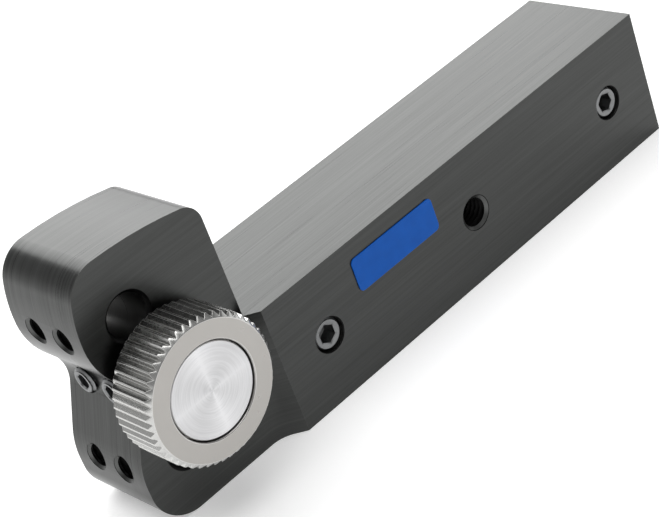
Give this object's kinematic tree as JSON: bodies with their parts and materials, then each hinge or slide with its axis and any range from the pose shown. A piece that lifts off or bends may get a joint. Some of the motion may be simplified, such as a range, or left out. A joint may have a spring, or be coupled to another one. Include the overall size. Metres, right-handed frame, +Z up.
{
  "type": "knurling tool holder",
  "caption": "Square-shank lathe tool holder whose lobed head carries a straight-toothed knurling wheel on a clamped axle pin.",
  "frame": {"origin": "on the shank's bottom face, midway across it and under the middle tapped hole", "axes": "+X along the shank towards the head, +Y out of the side that carries the wheel, +Z up"},
  "size_m": [0.1017, 0.0265, 0.0393],
  "materials": {
    "dark_steel": "dark satin, brushed along the shank",
    "pin_steel": "bright turned",
    "washer_steel": "ground",
    "wheel_steel": "ground satin",
    "screw_steel": "satin",
    "label_blue": "smooth"
  },
  "bodies": {
    "holder": {"holder_body": "dark_steel", "side_label": "label_blue"},
    "axle": {"axle_pin": "pin_steel", "thrust_washer": "washer_steel"},
    "wheel": {"knurling_wheel": "wheel_steel"},
    "rear_clamp": {"rear_clamp_screw": "screw_steel"},
    "front_clamp": {"front_clamp_screw": "screw_steel"},
    "tail_side": {"tail_side_screw": "screw_steel"},
    "head_side": {"head_side_screw": "screw_steel"}
  },
  "joints": [
    {"name": "axle_pull", "type": "slide", "parent": "holder", "child": "axle", "axis": [0, 1, 0], "range_m": [0, 0.02]},
    {"name": "wheel_spin", "type": "hinge", "parent": "axle", "child": "wheel", "pos_m": [0.0527, 0.0125, 0.0196], "axis": [0, 1, 0], "continuous": true},
    {"name": "rear_clamp_travel", "type": "slide", "parent": "holder", "child": "rear_clamp", "axis": [1, 0, 0], "range_m": [0, 0.003]},
    {"name": "front_clamp_travel", "type": "slide", "parent": "holder", "child": "front_clamp", "axis": [1, 0, 0], "range_m": [0, 0.003]},
    {"name": "tail_side_travel", "type": "slide", "parent": "holder", "child": "tail_side", "axis": [0, 1, 0], "range_m": [-0.008, 0.003]},
    {"name": "head_side_travel", "type": "slide", "parent": "holder", "child": "head_side", "axis": [0, 1, 0], "range_m": [-0.008, 0.003]}
  ]
}
